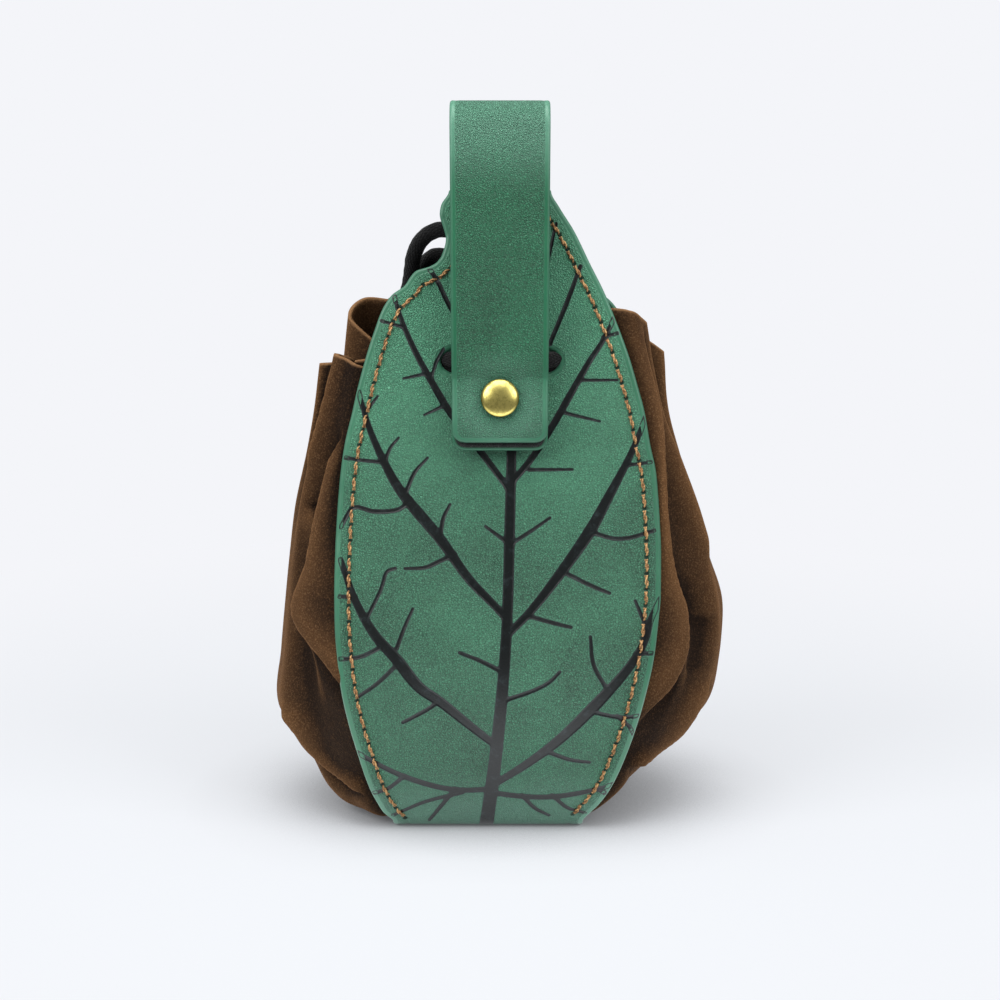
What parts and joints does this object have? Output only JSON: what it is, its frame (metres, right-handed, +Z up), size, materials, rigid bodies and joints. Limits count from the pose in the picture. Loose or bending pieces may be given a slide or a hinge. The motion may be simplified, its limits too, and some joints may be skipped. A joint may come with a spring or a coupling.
{
  "type": "leather belt bag",
  "caption": "Leaf-shaped drawstring belt pouch in leather with gathered suede sides and a snap-fastened belt loop.",
  "frame": {"origin": "centre of the flat base, on the surface the bag stands on", "axes": "+Z up, -Y towards the front with the belt loop, +X to the viewer's right"},
  "size_m": [0.1464, 0.096, 0.2282],
  "materials": {
    "green_leather": "smooth green leather with fine grain, black pressed vein print and tan stitching",
    "brown_suede": "soft brown suede with a short nap",
    "black_cord": "matt black braided cotton cord",
    "brass": "brushed antique brass"
  },
  "bodies": {
    "root": {"leaf_panel": "green_leather", "strap_lining": "green_leather", "strap_facing": "green_leather", "snap_cap": "brass", "snap_stud": "brass", "gusset_left": "brown_suede", "gusset_right": "brown_suede", "drawstring_run": "black_cord", "drawstring_outer_tail": "black_cord", "drawstring_inner_tail": "black_cord", "drawstring_knot": "black_cord"}
  },
  "joints": []
}
